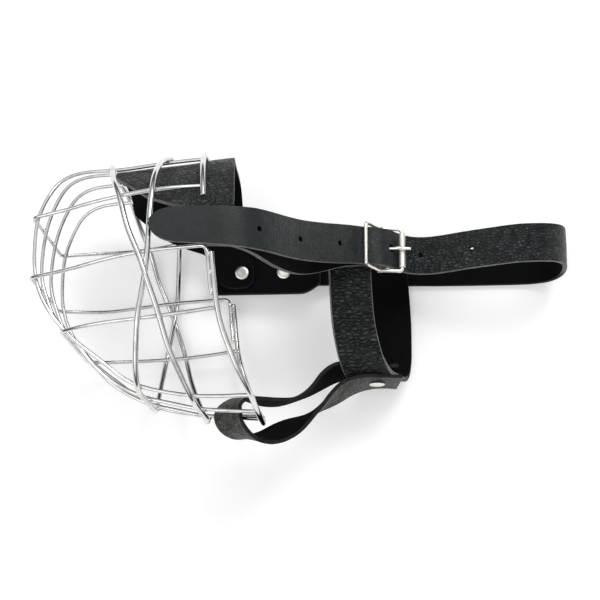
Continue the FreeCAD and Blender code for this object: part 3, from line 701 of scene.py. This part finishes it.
stations.append(((BAR[0] - 3.5, STRAP_MIDDLE, BAR[1] - fold + 0.1), (0, 0, -1)))
stations.append(((BAR[0] - 8, STRAP_MIDDLE, BAR[1] - fold + 0.4), (0, 0, -1)))


def cheek_trim(f):
    return 0.86 + 0.14 * min(1, f / 0.3) - 0.03 * min(1, max(0, f * 10 - 6))


grid, line, outward, tangents = strap_grid(stations, 20.0, step=0.7, cols=25,
                                           trim=cheek_trim)
grid = facing(grid, outward)
slot_holes = []
for k in range(len(line)):
    p = line[k] - SHIFT
    if p[0] > BAR[0] - 3.0 and abs(p[2] - BAR[1]) < 3.4:
        slot_holes.append((grid[k].mean(axis=0), 1.6))
# The cheek strap takes the nearly black leather with painted shade.
piece = sheet_piece("cheek_strap_folded", grid, [CHEEK_SHADE, FLESH, EDGE], holes=slot_holes[::2],
                    wobble=0.08, seed=8.0)
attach(piece, "collar")
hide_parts("cheek_strap")


def panel_trim(f):
    return 1.0 if f < 0.8 else 1.0 - 0.45 * ((f - 0.8) / 0.2) ** 2


# Cheek panels.
near = [(p + n * (PANEL_SIDE - STRAP_SIDE), n) for p, n in zip(cheek_points, cheek_normals)][:7]
near = [(place(88, PANEL_SIDE, 0) - SHIFT, near[0][1])] + near
far = [(place(a, -PANEL_SIDE, 0) - SHIFT, -SIDE_AXIS) for a in (88, 97, 104.5, 116, 128, 139, 146)]
near_middles = [24.6, 24.5, 24.2, 23.6, 22.8, 22, 21.6, 21.6]
for label, path, middles, width in (
        ("near", near, near_middles, NEAR_PLATE_WIDTH),
        ("far", far, [FAR_PLATE_MIDDLE] * 7, FAR_PLATE_WIDTH)):
    stations = [((p[0], y, p[2]), tuple(n)) for (p, n), y in zip(path, middles)]
    grid, line, outward, tangents = strap_grid(stations, width, step=0.8, cols=25,
                                               trim=panel_trim)
    grid = facing(grid, outward)
    piece = sheet_piece("cheek_panel_" + label + "_leather", grid, [SMOOTH, FLESH, EDGE],
                        wobble=0.05, seed=12.0 + len(label))
    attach(piece, "collar")
    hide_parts("cheek_panel_" + label)

# Throat strap.
rows = [((25.1, 41.5, 41.7), (0.22, 0, 1)), ((25.2, 31, 41.7), (0.22, 0, 1)),
        ((25.6, 18, 41.6), (0.2, 0, 1)), ((26.2, 4, 42), (0.16, 0, 1)),
        ((27.4, -10, 42.6), (0.12, -0.05, 1)), ((29.2, -20, 42.6), (0.1, -0.3, 1)),
        ((31.6, -27.8, 40.4), (0.1, -0.8, 1)), ((34.6, -32, 36), (0.05, -1, 0.5)),
        ((37.6, -32.9, 31), (0, -1, 0.08)), ((40.6, -32.9, 25.4), (0, -1, 0)),
        ((43.6, -31.9, 19.2), (0, -1, -0.3)), ((46, -28.6, 13.2), (0, -1, -0.8)),
        ((47.6, -22, 8.6), (0, -0.45, -1)), ((48.2, -12, 5.9), (0, -0.15, -1)),
        ((48.2, 2, 4.7), (0, 0, -1)), ((47.4, 18, 4.5), (0, 0, -1)),
        ((46.9, 31, 4.5), (0, 0, -1)), ((46.8, 41.5, 4.5), (0, 0, -1))]
grid, line, outward, tangents = strap_grid(rows, 22.0, step=0.7, cols=29)
grid = facing(grid, outward)
for i in range(grid.shape[0]):
    y = line[i, 1]
    share = math.exp(-((y - 14) / 16) ** 2) if line[i, 2] > 30 else 0.0
    for j in range(grid.shape[1]):
        crumple = noise.noise(Vector((grid[i, j, 0] * 0.09, grid[i, j, 1] * 0.42, 3.0)))
        grid[i, j] -= outward[i] * share * 0.55 * max(0.0, crumple)
piece = sheet_piece("throat_strap_leather", grid, [SOFT, FLESH, EDGE], wobble=0.16, seed=21.0)
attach(piece, "collar")
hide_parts("throat_strap")

# Chin strap.
rows = [((51, -35.4, 26.6), (0, -1, 0.1)), ((39.4, -35.5, 28), (0, -1, 0.12)),
        ((31, -37.2, 29.8), (0, -1, 0.25)), ((22.5, -41, 32.8), (0, -1, 0.4)),
        ((14, -47.2, 36.2), (0, -1, 0.25)), ((6.5, -53.6, 39.2), (0, -1, 0.02)),
        ((-1.5, -59.4, 42.2), (0, -1, -0.3)), ((-10, -65.2, 46), (0, -1, -0.52)),
        ((-17, -68.4, 49), (0, -1, -0.45)), ((-23.4, -68.8, 51.8), (-0.15, -1, -0.2)),
        ((-29.4, -66.6, 53.8), (-0.6, -1, 0.3)), ((-33.7, -62.6, 54.8), (-1, -0.65, 0.8)),
        ((-35.4, -57.6, 55), (-1, 0, 0.98)), ((-34, -52.8, 54.6), (-1, 0.8, 0.75)),
        ((-30, -49.6, 53.2), (-0.4, 1, 0.35)), ((-24, -48.8, 50.8), (0, 1, 0.15)),
        ((-16, -49.4, 46.6), (0, 1, 0.05)), ((-6, -48.2, 41.4), (0, 1, 0)),
        ((2, -43.6, 37.4), (0, 1, -0.12)), ((10, -36.8, 34), (0, 1, -0.3)),
        ((17.5, -31.8, 31.6), (0, 1, -0.35)), ((27, -29.8, 29.8), (0, 1, -0.22)),
        ((39.4, -30.3, 28), (0, 1, -0.1)), ((49, -29.4, 26.8), (0, 1, -0.1))]
grid, line, outward, tangents = strap_grid(rows, 19.0, step=0.7, cols=25, cup=0.15)
grid = facing(grid, outward)
piece = sheet_piece("chin_strap_leather", grid, [OLIVE, FLESH, DARK_EDGE], thickness=CHIN_LEATHER,
                    wobble=0.16, seed=33.0)
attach(piece, "collar")
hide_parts("chin_strap")

# Nose saddle: an arch over the bridge with a flank and a tab on each cheek.
half_section = [(0, 0), (9, 0.3), (17.5, 1.3), (24.5, 3.8), (30.5, 9), (35.4, 16.5), (39, 25),
                (41.6, 32), (TAB_SIDE + LEATHER / 2, 40), (TAB_SIDE + LEATHER / 2, 60)]
section, _, _ = smooth_line([(s, -d, 0) for s, d in half_section], 0.25)
section_length = np.concatenate([[0], np.cumsum(np.linalg.norm(np.diff(section, axis=0),
                                                               axis=1))])
top_rows = ([48.5, 56, 66, 76, 88, 96, 105.6], [119.2, 119.8, 121, 121.9, 123.2, 124.8, 125.8])
low_rows = ([48.5, 56, 66, 76, 84, 88, 90.5, 93, 96, 99, 103, 105.6],
            [111.5, 106, 98.5, 94.5, 92, 88, 80.5, 75.4, 73.2, 72.7, 73.2, 76])
stations_along = np.concatenate([[48.5, 48.9], np.arange(49.6, 105.2, 0.75), [105.6]])
cols = 121
grid = np.zeros((len(stations_along), cols, 3))
for i, along in enumerate(stations_along):
    top = np.interp(along, *top_rows)
    low = np.interp(along, *low_rows)
    if along < 52:
        low += 0.35 * (52 - along) ** 1.5 * 0.35
    drop = top - low
    reach = np.interp(drop, -section[:, 1], section_length)
    for j in range(cols):
        u = 2 * j / (cols - 1) - 1
        d = abs(u) * reach
        side = np.interp(d, section_length, section[:, 0])
        down = -np.interp(d, section_length, section[:, 1])
        out = np.array([side / 46, (44 - down) / 44])
        out = out / np.linalg.norm(out) if down < 34 else np.array([1.0, 0.0])
        s = side - out[0] * LEATHER / 2
        h = top - down - out[1] * LEATHER / 2
        low_down = min(1.0, max(0.0, (95 - h) / 9))
        back = max(0.0, (along - 93) / 12.6) * 5.0 * low_down ** 2 * (3 - 2 * low_down)
        slack = np.interp(along, [80, 88, 96, 104.2], [0, 0.4, 1.6, 3.4]) * (1 - low_down)
        if u > 0:
            back += slack * min(1, s / 42) ** 1.5
        grid[i, j] = place(along + back, math.copysign(s, u), h)
if np.cross(grid[5, 60] - grid[4, 60], grid[4, 61] - grid[4, 60])[1] < 0:
    grid = grid[:, ::-1]
holes = []
for side in (1, -1):
    target = place(104.5, side * TAB_SIDE, 81.0)
    flat = grid.reshape(-1, 3)
    holes.append((flat[np.linalg.norm(flat - target, axis=1).argmin()], 1.58))
piece = sheet_piece("nose_saddle_leather", grid, [SADDLE, FLESH, EDGE], holes=holes, wobble=0.1,
                    seed=41.0)
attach(piece, "basket")
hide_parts("nose_saddle")


# ----------------------------------------------------------------- hardware
def frame_line():
    """The buckle frame's closed loop with rounded corners."""
    low, high = STRAP_MIDDLE - FRAME_HALF, STRAP_MIDDLE + FRAME_HALF
    corners = []
    for y, order in ((low, 1), (high, -1)):
        row = [(FRAME_FRONT[0], y, FRAME_FRONT[1]), (BAR[0], y, BAR[1]),
               (FRAME_REAR[0], y, FRAME_REAR[1])]
        corners += row[::order]
    points = []
    for k, at in enumerate(corners):
        before, after = corners[k - 1], corners[(k + 1) % len(corners)]
        points += rounded(before, at, after, 2.0 if k % 3 != 1 else 5.0, 6)
    return np.array(points + points[:1]) + SHIFT


def dense(points, step=0.6):
    """Straight runs cut into short steps."""
    out = [points[0]]
    for a, b in zip(points, points[1:]):
        n = max(1, int(np.linalg.norm(b - a) / step))
        out += [a + (b - a) * (k + 1) / n for k in range(n)]
    return np.array(out)


loop = dense(frame_line())
parts = [tube(loop, [2.0] * len(loop), 16)]
bar = dense(np.array([[BAR[0], STRAP_MIDDLE - FRAME_HALF, BAR[1]],
                      [BAR[0], STRAP_MIDDLE + FRAME_HALF, BAR[1]]]) + SHIFT)
parts.append(tube(bar, [2.0] * len(bar), 16))
for y in (-FRAME_HALF, FRAME_HALF):
    eye = np.array([BAR[0], STRAP_MIDDLE + y, BAR[1]]) + SHIFT
    parts.append(lathe([(-1.1, 0.8), (-0.95, 1.2), (0, 1.35), (0.95, 1.2), (1.1, 0.8)], eye,
                       (0, 1, 0), 20))
piece = mesh_piece("buckle_frame_wire", *join(parts), [BUCKLE])
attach(piece, "buckle")
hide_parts("buckle_frame")

centre = np.array([FRAME_REAR[0], STRAP_MIDDLE, FRAME_REAR[1]]) + SHIFT
profile = [(-9.2, 1.1), (-9.2, 1.5), (-9.05, 1.64), (-8.6, 1.68), (-4, 1.7), (4, 1.7),
           (8.6, 1.68), (9.05, 1.64), (9.2, 1.5), (9.2, 1.1), (8.8, 1.09), (-8.8, 1.09),
           (-9.2, 1.1)]
verts, faces = lathe(profile, centre, (0, 1, 0), 36)
seam = [v for v in range(len(verts)) if v % 36 == 4]
for v in seam:
    away = verts[v] - centre
    away[1] = 0
    if np.linalg.norm(away) > 1.3:
        verts[v] -= unit(away) * 0.22
piece = mesh_piece("buckle_roller_tube", verts, faces[:-2], [ROLLER])
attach(piece, "roller")
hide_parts("buckle_roller")

pivot = np.array([BAR[0], STRAP_MIDDLE, BAR[1]]) + SHIFT
curl = [pivot + np.array([math.cos(a), 0, math.sin(a)]) * 2.05
        for a in np.radians(np.arange(-320, 10, 12))]
shank = [pivot + np.array(p) for p in
         ((2.6, 0, 1.1), (4.2, 0, 1.7), (7, 0, 2.05), (9.4, 0, 2.6), (11.6, 0, 2.02),
          (13.6, 0, 1.9), (16.0, 0, 1.6))]
tail, _, _ = smooth_line(curl[-3:] + shank, 0.5)
line = np.concatenate([np.array(curl[:-3]), tail])
sizes = np.interp(np.arange(len(line)), [0, len(line) - 9, len(line) - 1], [1.7, 1.7, 1.45])
piece = mesh_piece("buckle_tongue_wire", *tube(line, sizes, 14), [BUCKLE])
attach(piece, "tongue")
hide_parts("buckle_tongue")


def rivet_parts(centre, axis, low, high, radius=3.7, rise=1.0):
    """A tubular rivet: domed cap, pressed washer, post and rolled lower end."""
    cap = [(high - 0.3, 0.4), (high - 0.1, 4.1), (high + 0.1, 4.3), (high + 0.35, 4.15),
           (high + 0.45, radius + 0.05), (high + 0.62, radius - 0.02)]
    for k in range(1, 9):
        a = k / 8 * math.pi / 2
        cap.append((high + 0.62 + (rise - 0.22) * math.sin(a), radius * math.cos(a) ** 0.8))
    post = [(low - 0.5, 1.1), (low - 0.62, 2.2), (low - 0.5, 3.4), (low - 0.2, 3.7),
            (low, 3.5), (low + 0.05, 1.5), (high - 0.2, 1.5)]
    return [lathe(cap, centre, axis, 40), lathe(post, centre, axis, 32)]


def rivet_piece(name, parts, node):
    piece = mesh_piece(name, *join(parts), [RIVET])
    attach(piece, "collar")
    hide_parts(node)


parts = []
for side in (1, -1):
    parts += rivet_parts(place(104.5, 0, 81.0), SIDE_AXIS * side, TAB_SIDE - LEATHER / 2 - 0.1,
                         STRAP_SIDE + LEATHER / 2)
rivet_piece("cheek_rivets_front", parts, "pivot_rivets")
reach = LEATHER * 1.5 + 0.2
rear = np.array([cheek_points[5][0], 22.0, cheek_points[5][2]]) + SHIFT
parts = rivet_parts(rear, cheek_normals[5], -reach, LEATHER / 2)
parts += rivet_parts(place(126.5, -STRAP_SIDE, 81.8), -SIDE_AXIS, -reach, LEATHER / 2)
rivet_piece("cheek_rivets_rear", parts, "rear_cheek_rivets")
parts = rivet_parts(np.array([24.2, 31, 41.9]) + SHIFT, (0.22, 0, 1), -LEATHER / 2,
                    LEATHER * 1.5 + 0.1)
parts += rivet_parts(np.array([46.9, 34.4, 4.5]) + SHIFT, (0, 0, 1), -3.9, LEATHER / 2)
rivet_piece("throat_strap_rivets", parts, "throat_rivets")
reach = LEATHER * 1.5 + 0.25
chin = np.array([39.4, -32.9, 28]) + SHIFT
parts = [lathe([(reach - 0.1, 4.0), (reach + 0.15, 4.1), (reach + 0.3, 3.9), (reach + 0.42, 3.75),
                (reach + 0.62, 3.4), (reach + 0.72, 2.4), (reach + 0.78, 1.0),
                (reach + 0.66, 0.4)], chin, (0, -1, 0), 40),
         lathe([(-reach - 0.5, 3.2), (-reach - 0.2, 3.7), (-reach, 3.5), (-reach, 1.5),
                (reach, 1.5)], chin, (0, -1, 0), 32)]
rivet_piece("chin_strap_rivet", parts, "chin_rivet")
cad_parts["fold_rivet"].data.materials.clear()
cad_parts["fold_rivet"].data.materials.append(RIVET)

# -------------------------------------------------------------------- studio
floor_mesh = bpy.data.meshes.new("floor")
floor_mesh.from_pydata([(-4, -4, -0.0003), (4, -4, -0.0003), (4, 4, -0.0003), (-4, 4, -0.0003)],
                       [], [(0, 1, 2, 3)])
floor = bpy.data.objects.new("floor", floor_mesh)
bpy.context.scene.collection.objects.link(floor)
floor_material, tree, shader = new_material("pale_floor")
speckle = noise_node(tree, position(tree), 900, 2)
shades = [(0.3, (0.90, 0.90, 0.90)), (0.7, (0.92, 0.92, 0.92))]
link(tree, ramp(tree, speckle.outputs["Fac"], shades), shader.inputs["Base Color"])
shader.inputs["Roughness"].default_value = 0.9
shader.inputs["Emission Color"].default_value = (1, 1, 1, 1)
shader.inputs["Emission Strength"].default_value = 0.22
floor_mesh.materials.append(floor_material)

world = bpy.data.worlds.new("studio")
bpy.context.scene.world = world
world.use_nodes = True
tree = world.node_tree
back = tree.nodes["Background"]
coords = tree.nodes.new("ShaderNodeTexCoord")
split = tree.nodes.new("ShaderNodeSeparateXYZ")
link(tree, coords.outputs["Generated"], split.inputs[0])
sky = ramp(tree, split.outputs["Z"], [(0.0, (0.10, 0.10, 0.105)), (0.34, (0.16, 0.162, 0.165)),
                                      (0.62, (0.95, 0.95, 0.95))])
path = tree.nodes.new("ShaderNodeLightPath")
seen = mix_colour(tree, path.outputs["Is Camera Ray"], sky, (0.9, 0.9, 0.9))
link(tree, seen, back.inputs["Color"])
back.inputs["Strength"].default_value = 1.0


def area_light(name, location, target, size, power, colour=(1, 1, 1)):
    data = bpy.data.lights.new(name, "AREA")
    data.size = size
    data.energy = power
    data.color = colour
    lamp = bpy.data.objects.new(name, data)
    lamp.location = location
    direction = Vector(target) - Vector(location)
    lamp.rotation_euler = direction.to_track_quat("-Z", "Y").to_euler()
    bpy.context.scene.collection.objects.link(lamp)
    return lamp


area_light("key", (0.45, 0.85, 1.2), (0, 0, 0.03), 0.6, 7)
area_light("fill", (-0.9, -0.7, 1.3), (0, 0, 0.03), 1.4, 6)

camera_data = bpy.data.cameras.new("camera")
camera_data.lens = 93.1
camera_data.sensor_width = 36
camera_data.clip_start = 0.01
camera = bpy.data.objects.new("camera", camera_data)
camera.location = (-0.0039, -0.2011, 0.8069)
camera.rotation_euler = (math.radians(15), 0, 0)
bpy.context.scene.collection.objects.link(camera)
bpy.context.scene.camera = camera
bpy.context.scene.view_settings.view_transform = "Standard"
